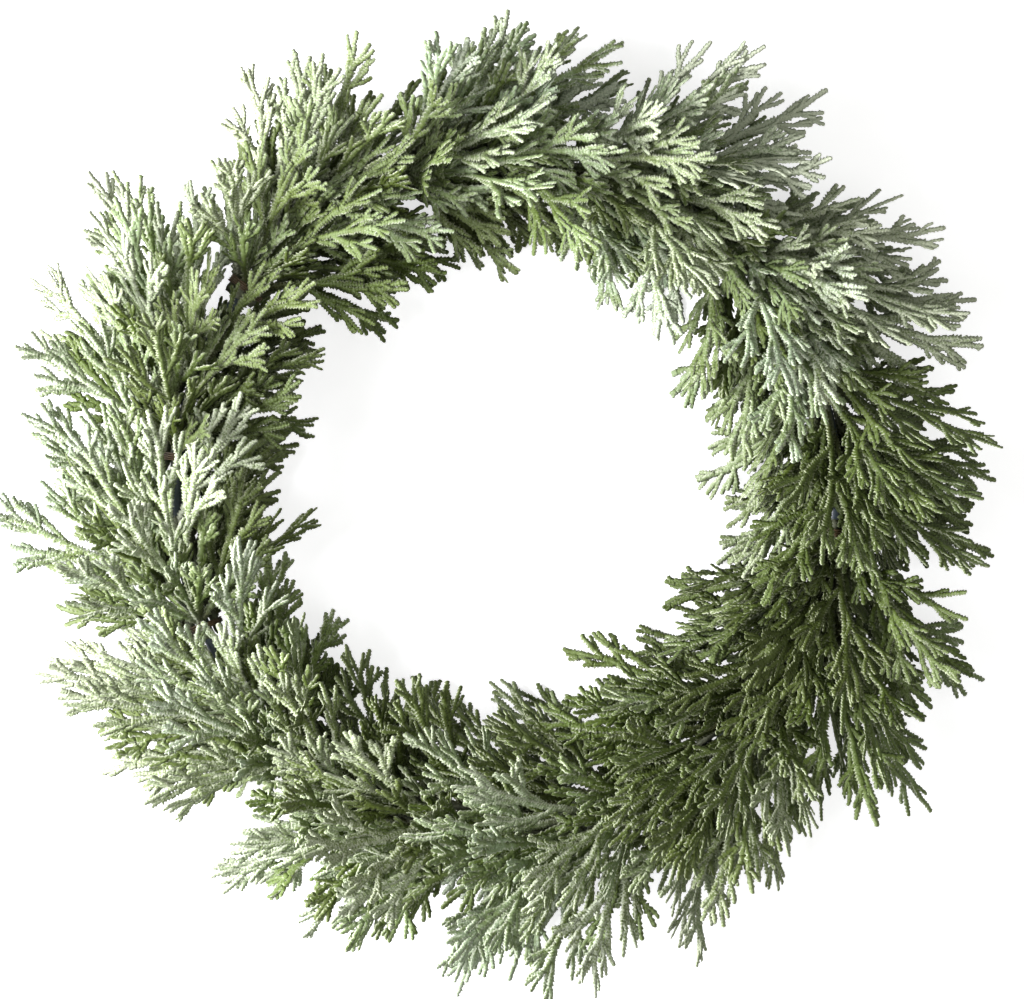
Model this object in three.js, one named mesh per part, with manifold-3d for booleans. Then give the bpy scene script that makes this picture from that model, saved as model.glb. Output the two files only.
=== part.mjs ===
// An evergreen wreath of flat, scale-leaved sprays, lying face up on its back.
//
// A thin coated ring carries twelve bindings. Each binding holds three sprigs
// (outer, front and inner), and each sprig is a short woody stem with flat,
// forked fronds. All fronds run clockwise, as seen from the front.
//
// Millimetres, +Z up. X and Y lie in the plane of the ring, and Z = 0 is the
// surface that the back fronds rest on.

import * as THREE from 'three';
import { mergeVertices } from 'three/addons/utils/BufferGeometryUtils.js';
import Module from 'manifold-3d';

// ---------------------------------------------------------------- sizes

const RING_RADIUS = 152.5;
const RING_TUBE = 3;
const RING_HEIGHT = 31;
const RING_STEPS = 48;
const RING_SIDES = 6;

const FIT_GAP = 0.3;
const STEM_RADIUS = 2.3;
const STEM_SIDES = 4;
const STEM_STEPS = 3;
const STEM_OFFSET = RING_TUBE + STEM_RADIUS + 2 * FIT_GAP;
const STEM_BEHIND = 6;
const STEM_AHEAD = 53;

const BAND_WIDTH = 4;
const BAND_WALL = 0.9;
const BAND_SIDES = 6;

const FROND_THICKNESS = 1.6;
const TWIG_WIDTH = 2.8;
const ROOT_LENGTH = 10;
const FROND_SLICES = 16;

// The fronds' centrelines keep these distances to each other, to the ring and
// to the surface below, so that no frond runs through another piece.
const FROND_CLEARANCE = 3.9;
const RING_CLEARANCE = RING_TUBE + 2.2;
const FLOOR_CLEARANCE = 2.2;

// A frond's shares of its own length: its first side twig, the stretch of rib
// that carries side twigs, the line that their tips near, the last fork.
const FIRST_TWIG = 0.27;
const TWIG_STRETCH = 0.4;
const TWIG_LINE = 0.98;
const LAST_FORK = 0.78;
const TIP_HALF_SPREAD = 0.057;

// Side twigs: how much of the way to that line they go, where they fork, and
// the angles of a twig and of its prongs, in degrees.
const TWIG_REACH = 0.74;
const TWIG_FORK = 0.5;
const TWIG_ANGLE = 33;
const PRONG_ANGLE = 13;
const USUAL_TWIGS = 3;

const MOST_TRIES = 60;
const SEED = 420;

// Where the bindings sit, in degrees counter-clockwise from +X.
const STATION_ANGLES = [110, 80, 51, 22, -7, -36, -66, -96, -126, -156, 174, 142];

// One row for each frond of a station: where it leaves its stem, ahead of the
// binding, how far it leans round the ring's tube (0 outwards, 90 to the front,
// 180 inwards), its angle off the ring's line and its length. A frond that
// rests lies along the surface below.
const OUTER_FRONDS = [
  { ahead: 4, lean: 34, splay: 56, length: 80 },
  { ahead: 10, lean: -58, splay: 44, length: 84, twigs: 2, rests: true },
  { ahead: 20, lean: -4, splay: 60, length: 82 },
  { ahead: 28, lean: 22, splay: 40, length: 88 },
  { ahead: 38, lean: -16, splay: 46, length: 88 },
  { ahead: 48, lean: 14, splay: 54, length: 82 },
  { ahead: 43, lean: 0, splay: 20, length: 76 },
];
const FRONT_FRONDS = [
  { ahead: 8, lean: 60, splay: 40, length: 80 },
  { ahead: 20, lean: 106, splay: 36, length: 78 },
  { ahead: 32, lean: 78, splay: 26, length: 82 },
  { ahead: 48, lean: 130, splay: 44, length: 74 },
];
const INNER_FRONDS = [
  { ahead: 4, lean: 150, splay: 56, length: 68 },
  { ahead: 16, lean: 192, splay: 66, length: 62, twigs: 2 },
  { ahead: 32, lean: 168, splay: 44, length: 72 },
  { ahead: 44, lean: 238, splay: 48, length: 74, twigs: 2, rests: true },
];

// How far the outer and inner fronds of each station reach, against their rows.
const OUTER_REACH = [0.98, 1, 1.04, 1.06, 1.15, 1.08, 1.06, 0.97, 1.04, 1.08, 1.12, 0.99];
const INNER_REACH = [0.88, 1, 1.12, 1.05, 1.15, 1.34, 1.3, 1.04, 0.97, 1.08, 0.92, 1];
const FRONT_REACH = STATION_ANGLES.map(() => 1);

const SPRIGS = [
  { name: 'outer', seat: 15, fronds: OUTER_FRONDS, reach: OUTER_REACH },
  { name: 'front', seat: 90, fronds: FRONT_FRONDS, reach: FRONT_REACH },
  { name: 'inner', seat: 165, fronds: INNER_FRONDS, reach: INNER_REACH },
];

// How much one frond differs from its row, in degrees or as a share.
const LEAN_SPREAD = 13;
const SPLAY_SPREAD = 9;
const LENGTH_SPREAD = 0.1;
const ROLL_SPREAD = 32;
const CURL_SPREAD = 12;
const BOW_SPREAD = 14;
const PLACE_SPREAD = 3;
const CUP_SPREAD = 0.006;
const RESTING_LEAN_SPREAD = 4;

// A frond bends this share less than the ring does, and its face turns this
// share of the way from straight up to straight off the ring.
const STRAIGHTNESS = 0.6;
const FACE_OUT = 0.4;

// ---------------------------------------------------------------- helpers

const radians = THREE.MathUtils.degToRad;

function drawFrom(seed) {
  let state = seed >>> 0;
  return () => {
    state = (state + 0x6d2b79f5) >>> 0;
    let mixed = Math.imul(state ^ (state >>> 15), state | 1);
    mixed = (mixed + Math.imul(mixed ^ (mixed >>> 7), mixed | 61)) ^ mixed;
    return ((mixed ^ (mixed >>> 14)) >>> 0) / 4294967296;
  };
}

function spread(draw, amount) {
  return (2 * draw() - 1) * amount;
}

// Directions at an angle round the ring: outwards, and clockwise along it.
function outward(angle) {
  return new THREE.Vector3(Math.cos(angle), Math.sin(angle), 0);
}

function clockwise(angle) {
  return new THREE.Vector3(Math.sin(angle), -Math.cos(angle), 0);
}

// A point beside the ring: its angle, its distance from the ring's centreline
// and its lean round that line.
function besideRing(angle, distance, lean) {
  return outward(angle)
    .multiplyScalar(RING_RADIUS + distance * Math.cos(lean))
    .setZ(RING_HEIGHT + distance * Math.sin(lean));
}

function stationNumber(station) {
  return String(station + 1).padStart(2, '0');
}

function sprigName(kind, station) {
  return `sprig_${kind}_${stationNumber(station)}`;
}

const wasm = await Module();
wasm.setup();

function solidOf(geometry) {
  geometry.deleteAttribute('normal');
  geometry.deleteAttribute('uv');
  const merged = mergeVertices(geometry, 1e-4);
  return new wasm.Manifold(new wasm.Mesh({
    numProp: 3,
    vertProperties: new Float32Array(merged.attributes.position.array),
    triVerts: new Uint32Array(merged.index.array),
  }));
}

function geometryOf(solid) {
  const mesh = solid.getMesh();
  const geometry = new THREE.BufferGeometry();
  geometry.setAttribute('position', new THREE.BufferAttribute(mesh.vertProperties, 3));
  geometry.setIndex(new THREE.BufferAttribute(mesh.triVerts, 1));
  geometry.computeVertexNormals();
  return geometry;
}

// ---------------------------------------------------------------- the frond

// The side twigs of a frond leave its rib on alternate sides. All but the last
// one fork.
function twigsOf(draw, length, count) {
  const twigs = [];
  const spacing = TWIG_STRETCH / (count - 1);
  const firstSide = draw() < 0.5 ? 1 : -1;
  for (let k = 0; k < count; k += 1) {
    const start = length * (FIRST_TWIG + spacing * k + spread(draw, 0.015));
    const angle = radians(TWIG_ANGLE - 2 * k + spread(draw, 4));
    const line = length * (TWIG_LINE - 0.02 * k);
    const reach = (line - start) * (TWIG_REACH + spread(draw, 0.08));
    const fork = reach * (TWIG_FORK + spread(draw, 0.06));
    const side = k % 2 === 0 ? firstSide : -firstSide;
    twigs.push({ start, angle, reach, fork, side, forks: k < count - 1 });
  }
  return twigs;
}

function stepFrom(from, distance, angle) {
  return [from[0] + distance * Math.cos(angle), from[1] + distance * Math.sin(angle)];
}

// One twig on a flat frond: its edge, from the foot nearer the root to the
// other foot, and its centrelines.
function drawTwig(twig) {
  const heading = twig.side * twig.angle;
  const opening = twig.side * radians(PRONG_ANGLE);
  const root = [twig.start, 0];
  const foot = TWIG_WIDTH / Math.sin(twig.angle) / 2;
  const nearFoot = [twig.start - foot * 0.6, (twig.side * TWIG_WIDTH) / 2];
  const farFoot = [twig.start + foot * 1.6, (twig.side * TWIG_WIDTH) / 2];
  if (!twig.forks) {
    const tip = stepFrom(root, twig.reach, heading);
    return { root, edge: [nearFoot, tip, farFoot], lines: [[root, tip]] };
  }
  const fork = stepFrom(root, twig.fork, heading);
  const prong = twig.reach - twig.fork;
  const outer = stepFrom(fork, prong * 0.92, heading + opening);
  const inner = stepFrom(fork, prong * 1.06, heading - opening);
  const notch = stepFrom(fork, prong * 0.2, heading);
  return {
    root,
    edge: [nearFoot, outer, notch, inner, farFoot],
    lines: [[root, fork], [fork, outer], [fork, inner]],
  };
}

// The outline of a whole frond laid flat, rib along X, and its centrelines.
function drawFrond(draw, length, count) {
  const twigs = twigsOf(draw, length, count);
  const tipLeft = [length, length * (TIP_HALF_SPREAD + spread(draw, 0.015))];
  const tipRight = [length * (0.95 + spread(draw, 0.02)), -length * (TIP_HALF_SPREAD + spread(draw, 0.015))];
  const lastFork = [length * LAST_FORK, 0];
  const lastNotch = [length * (LAST_FORK + 0.05), 0];
  const left = [];
  const right = [];
  const lines = [[[0, 0], [ROOT_LENGTH, 0]]];
  let ribFrom = [ROOT_LENGTH, 0];
  for (const twig of twigs) {
    const drawn = drawTwig(twig);
    (twig.side > 0 ? left : right).push(...drawn.edge);
    lines.push([ribFrom, drawn.root], ...drawn.lines);
    ribFrom = drawn.root;
  }
  lines.push([ribFrom, lastFork], [lastFork, tipLeft], [lastFork, tipRight]);
  const base = [[0, -TWIG_WIDTH / 2], [0, TWIG_WIDTH / 2]];
  const outline = [base[0], ...right, tipRight, lastNotch, tipLeft, ...left.reverse(), base[1]];
  return { outline, lines };
}

// The curve that a frond's rib follows, as points with a side and a face
// direction at each. A resting frond runs on along the surface once it is down.
function ribFrames(hub, choice) {
  const frames = [];
  const slice = choice.length / FROND_SLICES;
  const lowest = FROND_THICKNESS / 2 - RING_HEIGHT;
  let angle = hub.angle - choice.ahead / RING_RADIUS;
  let out = STEM_OFFSET * Math.cos(hub.seat);
  let up = STEM_OFFSET * Math.sin(hub.seat);
  let splay = choice.splay;
  let lean = choice.lean;
  for (let k = 0; k <= FROND_SLICES; k += 1) {
    const point = outward(angle).multiplyScalar(RING_RADIUS + out).setZ(RING_HEIGHT + up);
    const face = outward(angle).multiplyScalar(Math.cos(lean)).setZ(Math.sin(lean));
    face.multiplyScalar(choice.rests ? 0 : FACE_OUT);
    face.z += 1 - FACE_OUT;
    frames.push({ point, face, down: choice.rests && up <= lowest });
    const turn = (slice * Math.cos(splay)) / (RING_RADIUS + out);
    const stride = slice * Math.sin(splay);
    const lands = choice.rests && up + stride * Math.sin(lean) <= lowest;
    angle -= turn;
    out += stride * (lands ? Math.sign(Math.cos(lean)) : Math.cos(lean));
    up = lands ? lowest : up + stride * Math.sin(lean);
    splay += turn * Math.cos(lean) * STRAIGHTNESS + choice.curl / FROND_SLICES;
    lean += choice.bow / FROND_SLICES;
  }
  frames.forEach((frame, k) => {
    const before = frames[Math.max(k - 1, 0)].point;
    const after = frames[Math.min(k + 1, FROND_SLICES)].point;
    const heading = after.clone().sub(before).normalize();
    frame.side = frame.face.clone().cross(heading).normalize();
    frame.side.applyAxisAngle(heading, choice.roll);
    frame.up = heading.clone().cross(frame.side).normalize();
    if (frame.down) {
      frame.side.setZ(0).normalize();
      frame.up.set(0, 0, 1);
    }
  });
  return frames;
}

// Takes a point of the flat frond to its place on the bent one.
function bendPoint(frames, choice, [x, y], lift) {
  const place = (Math.max(x, 0) / choice.length) * FROND_SLICES;
  const index = Math.min(Math.floor(place), FROND_SLICES - 1);
  const share = place - index;
  const from = frames[index];
  const to = frames[index + 1];
  const side = from.side.clone().lerp(to.side, Math.min(share, 1)).normalize();
  const up = from.up.clone().lerp(to.up, Math.min(share, 1)).normalize();
  return from.point.clone().lerp(to.point, share)
    .addScaledVector(side, y)
    .addScaledVector(up, lift - choice.cup * y * y);
}

// A thin blade: the same triangles on both faces, and a wall round the edge.
function makeFrond({ frames, choice, outline }) {
  const flat = outline.map(([x, y]) => new THREE.Vector2(x, y));
  const faces = THREE.ShapeUtils.triangulateShape(flat, []);
  const count = outline.length;
  const positions = [];
  for (const lift of [FROND_THICKNESS / 2, -FROND_THICKNESS / 2]) {
    for (const point of outline) {
      positions.push(...bendPoint(frames, choice, point, lift).toArray());
    }
  }
  const index = [];
  for (const [a, b, c] of faces) {
    index.push(a, b, c, count + a, count + c, count + b);
  }
  for (let k = 0; k < count; k += 1) {
    const next = (k + 1) % count;
    index.push(k, count + k, count + next, k, count + next, next);
  }
  const geometry = new THREE.BufferGeometry();
  geometry.setAttribute('position', new THREE.Float32BufferAttribute(positions, 3));
  geometry.setIndex(index);
  return solidOf(geometry);
}

// ---------------------------------------------------------------- clearance

// The least distance between the straight lines a to b and c to d.
function distanceBetween([a, b], [c, d]) {
  const u = b.clone().sub(a);
  const v = d.clone().sub(c);
  const w = a.clone().sub(c);
  const uu = u.dot(u);
  const vv = v.dot(v);
  const uv = u.dot(v);
  const uw = u.dot(w);
  const vw = v.dot(w);
  const slant = uu * vv - uv * uv;
  const clamp = (value) => THREE.MathUtils.clamp(value, 0, 1);
  const first = slant > 1e-9 ? clamp((uv * vw - vv * uw) / slant) : 0;
  const t = clamp((uv * first + vw) / vv);
  const s = clamp((uv * t - uw) / uu);
  return w.addScaledVector(u, s).addScaledVector(v, -t).length();
}

// What the layout keeps clear of: centrelines, and those of them that pieces
// of the same sprig also keep clear of.
function obstacle(sprig, lines, free) {
  return { sprig, lines, free, ball: new THREE.Sphere().setFromPoints(lines.flat()) };
}

function isClear(candidate, placed) {
  return placed.every((other) => {
    const reach = candidate.ball.radius + other.ball.radius + FROND_CLEARANCE;
    if (candidate.ball.center.distanceTo(other.ball.center) > reach) {
      return true;
    }
    const kin = other.sprig === candidate.sprig;
    const mine = kin ? candidate.free : candidate.lines;
    const theirs = kin ? other.free : other.lines;
    return mine.every((line) => theirs.every((its) => distanceBetween(line, its) >= FROND_CLEARANCE));
  });
}

function missesRingAndSurface(lines, rests) {
  return lines.flat().every((point) => {
    const out = Math.hypot(point.x, point.y) - RING_RADIUS;
    const offRing = Math.hypot(out, point.z - RING_HEIGHT) >= RING_CLEARANCE;
    return offRing && (rests || point.z >= FLOOR_CLEARANCE);
  });
}

function stemPoints(hub) {
  const points = [];
  for (let k = 0; k <= STEM_STEPS; k += 1) {
    const run = -STEM_BEHIND + ((STEM_BEHIND + STEM_AHEAD) * k) / STEM_STEPS;
    points.push(besideRing(hub.angle - run / RING_RADIUS, STEM_OFFSET, hub.seat));
  }
  return points;
}

// The outline that a band takes round the ring and the three stems on it: the
// corners where neighbouring tangents of the bundle meet.
function bundleOutline(slack) {
  const rounds = SPRIGS.map((sprig) => ({
    x: STEM_OFFSET * Math.cos(radians(sprig.seat)),
    y: STEM_OFFSET * Math.sin(radians(sprig.seat)),
    radius: STEM_RADIUS,
  }));
  rounds.push({ x: 0, y: 0, radius: RING_TUBE });
  const turn = (2 * Math.PI) / BAND_SIDES;
  const reach = (angle) => slack + Math.max(...rounds.map(
    (round) => round.x * Math.cos(angle) + round.y * Math.sin(angle) + round.radius));
  const corners = [];
  for (let k = 0; k < BAND_SIDES; k += 1) {
    const here = turn * k;
    const near = reach(here);
    const far = (reach(here + turn) - near * Math.cos(turn)) / Math.sin(turn);
    corners.push(new THREE.Vector2(
      near * Math.cos(here) - far * Math.sin(here),
      near * Math.sin(here) + far * Math.cos(here)));
  }
  return corners;
}

function stemObstacle(hub, sprig) {
  const points = stemPoints(hub);
  const lines = points.slice(1).map((point, k) => [points[k], point]);
  return obstacle(sprig, lines, lines);
}

function bandObstacle(hubAngle) {
  const corners = bundleOutline(FIT_GAP + BAND_WALL / 2).map(
    (corner) => besideRing(hubAngle, corner.length(), Math.atan2(corner.y, corner.x)));
  const lines = corners.map((corner, k) => [corner, corners[(k + 1) % corners.length]]);
  return obstacle(null, lines, lines);
}

// ---------------------------------------------------------------- layout

// One frond's shape, near its row's. Later tries may stray further and are a
// little shorter.
function chooseFrond(draw, row, reach, tries) {
  const loosen = 1 + tries * 0.03;
  const rests = row.rests === true;
  return {
    rests,
    lean: radians(row.lean + spread(draw, rests ? RESTING_LEAN_SPREAD : LEAN_SPREAD * loosen)),
    splay: radians(row.splay + spread(draw, SPLAY_SPREAD * loosen)),
    length: reach * row.length * (1 + spread(draw, LENGTH_SPREAD)) * (1 - 0.006 * tries),
    roll: rests ? 0 : radians(spread(draw, ROLL_SPREAD)),
    curl: radians(spread(draw, CURL_SPREAD)),
    bow: rests ? 0 : radians(spread(draw, BOW_SPREAD)),
    ahead: row.ahead + spread(draw, PLACE_SPREAD),
    cup: rests ? 0 : spread(draw, CUP_SPREAD),
  };
}

function tryFrond(draw, hub, row, reach, tries, sprig) {
  const choice = chooseFrond(draw, row, reach, tries);
  const plan = drawFrond(draw, choice.length, row.twigs ?? USUAL_TWIGS);
  const frames = ribFrames(hub, choice);
  const lines = plan.lines.map((line) => line.map((point) => bendPoint(frames, choice, point, 0)));
  const free = lines.slice(1);
  return { ...obstacle(sprig, lines, free), frames, choice, outline: plan.outline };
}

// Places the fronds of all sprigs one by one, each at the first try that is
// clear of all that is there already.
function layOutFronds() {
  const draw = drawFrom(SEED);
  const placed = STATION_ANGLES.map((degrees) => bandObstacle(radians(degrees)));
  STATION_ANGLES.forEach((degrees, station) => {
    for (const { name, seat, fronds, reach } of SPRIGS) {
      const hub = { angle: radians(degrees), seat: radians(seat) };
      const sprig = sprigName(name, station);
      placed.push(stemObstacle(hub, sprig));
      for (const row of fronds) {
        for (let tries = 0; tries < MOST_TRIES; tries += 1) {
          const frond = tryFrond(draw, hub, row, reach[station], tries, sprig);
          if (missesRingAndSurface(frond.free, frond.choice.rests) && isClear(frond, placed)) {
            placed.push(frond);
            break;
          }
        }
      }
    }
  });
  return placed.filter((item) => item.outline);
}

// ---------------------------------------------------------------- pieces

const finishes = {
  ring: new THREE.MeshStandardMaterial({ color: 0x2b3036, roughness: 0.45, metalness: 0.2 }),
  binding: new THREE.MeshStandardMaterial({ color: 0x4a3a26, roughness: 0.7, metalness: 0 }),
  frosted: new THREE.MeshStandardMaterial({ color: 0x8d9a80, roughness: 0.8, metalness: 0 }),
  green: new THREE.MeshStandardMaterial({ color: 0x6d7b55, roughness: 0.75, metalness: 0 }),
  olive: new THREE.MeshStandardMaterial({ color: 0x56623d, roughness: 0.7, metalness: 0 }),
};

const FOLIAGE = ['frosted', 'green', 'olive'];

function piece(name, geometry, finish) {
  const mesh = new THREE.Mesh(geometry, finishes[finish].clone());
  mesh.name = name;
  return mesh;
}

function makeRing() {
  const geometry = new THREE.TorusGeometry(RING_RADIUS, RING_TUBE, RING_SIDES, RING_STEPS);
  geometry.translate(0, 0, RING_HEIGHT);
  return piece('ring', geometry, 'ring');
}

function makeStem(hub) {
  const section = new THREE.Shape();
  for (let k = 0; k < STEM_SIDES; k += 1) {
    const turn = (2 * Math.PI * k) / STEM_SIDES;
    section[k === 0 ? 'moveTo' : 'lineTo'](STEM_RADIUS * Math.cos(turn), STEM_RADIUS * Math.sin(turn));
  }
  return solidOf(new THREE.ExtrudeGeometry(section, {
    steps: STEM_STEPS,
    extrudePath: new THREE.CatmullRomCurve3(stemPoints(hub)),
  }));
}

function makeBinding(name, angle) {
  const band = new THREE.Shape(bundleOutline(FIT_GAP + BAND_WALL));
  band.holes.push(new THREE.Path(bundleOutline(FIT_GAP)));
  const geometry = new THREE.ExtrudeGeometry(band, { depth: BAND_WIDTH, steps: 1, bevelEnabled: false });
  geometry.translate(0, 0, -BAND_WIDTH / 2);
  const upright = new THREE.Vector3(0, 0, 1);
  geometry.applyMatrix4(new THREE.Matrix4().makeBasis(outward(angle), upright, clockwise(angle)));
  geometry.translate(...besideRing(angle, 0, 0).toArray());
  return piece(name, geometry, 'binding');
}

function makeSprig(name, hub, fronds, finish) {
  const solid = fronds.reduce((whole, frond) => whole.add(makeFrond(frond)), makeStem(hub));
  return piece(name, geometryOf(solid), finish);
}

// ---------------------------------------------------------------- assembly

const wreath = new THREE.Group();
const allFronds = layOutFronds();
wreath.add(makeRing());
STATION_ANGLES.forEach((degrees, station) => {
  wreath.add(makeBinding(`binding_${stationNumber(station)}`, radians(degrees)));
  SPRIGS.forEach(({ name, seat }, place) => {
    const hub = { angle: radians(degrees), seat: radians(seat) };
    const sprig = sprigName(name, station);
    const fronds = allFronds.filter((frond) => frond.sprig === sprig);
    wreath.add(makeSprig(sprig, hub, fronds, FOLIAGE[(station + place) % FOLIAGE.length]));
  });
});

// The origin is the middle of the whole wreath's box, on the surface below.
const middle = new THREE.Box3().setFromObject(wreath).getCenter(new THREE.Vector3());
wreath.position.set(-middle.x, -middle.y, 0);

export default wreath;
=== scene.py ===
# An evergreen wreath of flat, scale-leaved sprays, lying face up on its back:
# a thin coated ring, twelve wire bindings and three sprigs at each binding.
#
# Lengths are millimetres until a mesh is made, and metres in the meshes.

import math

import bmesh
import bpy
import numpy as np
from mathutils import Matrix, Vector


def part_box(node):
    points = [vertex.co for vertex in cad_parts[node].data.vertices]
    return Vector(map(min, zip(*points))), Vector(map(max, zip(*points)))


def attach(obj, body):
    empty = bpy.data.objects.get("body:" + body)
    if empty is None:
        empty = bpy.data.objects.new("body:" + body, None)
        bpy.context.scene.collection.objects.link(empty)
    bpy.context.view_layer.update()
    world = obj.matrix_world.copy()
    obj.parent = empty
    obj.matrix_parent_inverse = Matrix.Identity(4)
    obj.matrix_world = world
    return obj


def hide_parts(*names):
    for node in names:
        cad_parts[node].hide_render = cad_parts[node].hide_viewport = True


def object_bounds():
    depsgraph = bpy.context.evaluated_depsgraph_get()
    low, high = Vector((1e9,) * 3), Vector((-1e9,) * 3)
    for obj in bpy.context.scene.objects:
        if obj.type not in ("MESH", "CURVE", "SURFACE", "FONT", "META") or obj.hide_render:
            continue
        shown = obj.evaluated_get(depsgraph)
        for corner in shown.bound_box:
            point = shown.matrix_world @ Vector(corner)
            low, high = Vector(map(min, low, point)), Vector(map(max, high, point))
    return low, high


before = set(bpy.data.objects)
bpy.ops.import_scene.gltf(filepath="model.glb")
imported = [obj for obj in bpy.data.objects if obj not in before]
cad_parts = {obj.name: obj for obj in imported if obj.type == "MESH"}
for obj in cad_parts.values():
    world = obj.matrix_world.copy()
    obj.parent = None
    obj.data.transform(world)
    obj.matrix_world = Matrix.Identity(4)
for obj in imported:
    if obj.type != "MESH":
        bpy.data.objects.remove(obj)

cad_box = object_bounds()
ring_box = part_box("ring")

MM = 0.001

# ------------------------------------------------------------------ sizes

RING_RADIUS = 152.5
RING_TUBE = 3.0
RING_HEIGHT = 31.0

# The middle of the ring in plan, and the whole model's box seen from there.
centre = (np.array(ring_box[0]) + np.array(ring_box[1]))[:2] / 2 / MM
box_round_ring = np.array(cad_box) / MM - (*centre, 0)

FIT_GAP = 0.3
STEM_RADIUS = 2.3
STEM_STEPS = 3
STEM_OFFSET = RING_TUBE + STEM_RADIUS + 2 * FIT_GAP
STEM_BEHIND = 6.0
STEM_AHEAD = 53.0

BAND_WALL = 0.9
BAND_SIDES = 6

FROND_THICKNESS = 1.6
ROOT_LENGTH = 10.0
FROND_SLICES = 16

# The fronds' centrelines keep these distances to each other, to the ring and
# to the surface below.
FROND_CLEARANCE = 3.9
RING_CLEARANCE = RING_TUBE + 2.2
FLOOR_CLEARANCE = 2.2

# A frond's plan, as shares of its own length.
FIRST_TWIG = 0.27
TWIG_STRETCH = 0.4
TWIG_START_SPREAD = 0.015
TWIG_LINE = 0.98
TWIG_LINE_STEP = 0.02
LAST_FORK = 0.78
TIP_HALF_SPREAD = 0.057
TIP_PLACE_SPREAD = 0.015
RIGHT_TIP = 0.95
RIGHT_TIP_SPREAD = 0.02
# A twig's plan, as shares of its own run, and its angles in degrees.
TWIG_REACH = 0.74
TWIG_REACH_SPREAD = 0.08
TWIG_FORK = 0.5
TWIG_FORK_SPREAD = 0.06
OUTER_PRONG = 0.92
INNER_PRONG = 1.06
TWIG_ANGLE = 33.0
TWIG_ANGLE_STEP = 2
TWIG_ANGLE_SPREAD = 4
PRONG_ANGLE = 13.0

MOST_TRIES = 60
SEED = 420

STATION_ANGLES = [110, 80, 51, 22, -7, -36, -66, -96, -126, -156, 174, 142]

# One row for each frond of a station: how far ahead of the binding it leaves
# its stem, its lean round the ring's tube (0 outwards, 90 to the front), its
# angle off the ring's line, its length, its twigs and whether it rests below.
OUTER_FRONDS = [
    (4, 34, 56, 80, 3, False),
    (10, -58, 44, 84, 2, True),
    (20, -4, 60, 82, 3, False),
    (28, 22, 40, 88, 3, False),
    (38, -16, 46, 88, 3, False),
    (48, 14, 54, 82, 3, False),
    (43, 0, 20, 76, 3, False),
]
FRONT_FRONDS = [
    (8, 60, 40, 80, 3, False),
    (20, 106, 36, 78, 3, False),
    (32, 78, 26, 82, 3, False),
    (48, 130, 44, 74, 3, False),
]
INNER_FRONDS = [
    (4, 150, 56, 68, 3, False),
    (16, 192, 66, 62, 2, False),
    (32, 168, 44, 72, 3, False),
    (44, 238, 48, 74, 2, True),
]

OUTER_REACH = [0.98, 1, 1.04, 1.06, 1.15, 1.08, 1.06, 0.97, 1.04, 1.08, 1.12, 0.99]
INNER_REACH = [0.88, 1, 1.12, 1.05, 1.15, 1.34, 1.3, 1.04, 0.97, 1.08, 0.92, 1]
FRONT_REACH = [1] * len(STATION_ANGLES)

SPRIGS = [
    ("outer", 15, OUTER_FRONDS, OUTER_REACH),
    ("front", 90, FRONT_FRONDS, FRONT_REACH),
    ("inner", 165, INNER_FRONDS, INNER_REACH),
]

LEAN_SPREAD = 13
SPLAY_SPREAD = 9
LENGTH_SPREAD = 0.1
ROLL_SPREAD = 32
CURL_SPREAD = 12
BOW_SPREAD = 14
PLACE_SPREAD = 3
CUP_SPREAD = 0.006
RESTING_LEAN_SPREAD = 4
STRAIGHTNESS = 0.6
FACE_OUT = 0.4
# With each try a frond may stray further, and gets shorter.
LOOSENING = 0.03
SHORTENING = 0.006


# ---------------------------------------------------------------- helpers

def draw_from(seed):
    """A seeded source of numbers from 0 to 1, made by mixing a 32-bit word."""
    word = 0xFFFFFFFF
    state = seed & word

    def draw():
        nonlocal state
        state = (state + 0x6D2B79F5) & word
        mixed = ((state ^ (state >> 15)) * (state | 1)) & word
        mixed = ((mixed + (((mixed ^ (mixed >> 7)) * (mixed | 61)) & word)) & word) ^ mixed
        return (mixed ^ (mixed >> 14)) / (word + 1)

    return draw


def spread(draw, amount):
    return (2 * draw() - 1) * amount


def between(draw, low, high):
    return low + (high - low) * draw()


def unit(vectors):
    return vectors / np.linalg.norm(vectors, axis=-1, keepdims=True)


def beside_ring(angle, distance, lean):
    """A point beside the ring: its angle, and its distance and lean round the tube."""
    out = RING_RADIUS + distance * math.cos(lean)
    return [out * math.cos(angle), out * math.sin(angle), RING_HEIGHT + distance * math.sin(lean)]


# ------------------------------------------------------- the frond's plan

def draw_twigs(draw, length, count):
    """Side twigs leave the rib on alternate sides, and all but the last one fork."""
    twigs = []
    spacing = TWIG_STRETCH / (count - 1)
    first_side = 1 if draw() < 0.5 else -1
    for k in range(count):
        start = length * (FIRST_TWIG + spacing * k + spread(draw, TWIG_START_SPREAD))
        angle = math.radians(TWIG_ANGLE - TWIG_ANGLE_STEP * k + spread(draw, TWIG_ANGLE_SPREAD))
        line = length * (TWIG_LINE - TWIG_LINE_STEP * k)
        reach = (line - start) * (TWIG_REACH + spread(draw, TWIG_REACH_SPREAD))
        fork = reach * (TWIG_FORK + spread(draw, TWIG_FORK_SPREAD))
        side = first_side if k % 2 == 0 else -first_side
        forks = k < count - 1
        twigs.append(dict(start=start, angle=angle, reach=reach, fork=fork, side=side, forks=forks))
    return twigs


def step_from(point, distance, angle):
    return (point[0] + distance * math.cos(angle), point[1] + distance * math.sin(angle))


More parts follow.
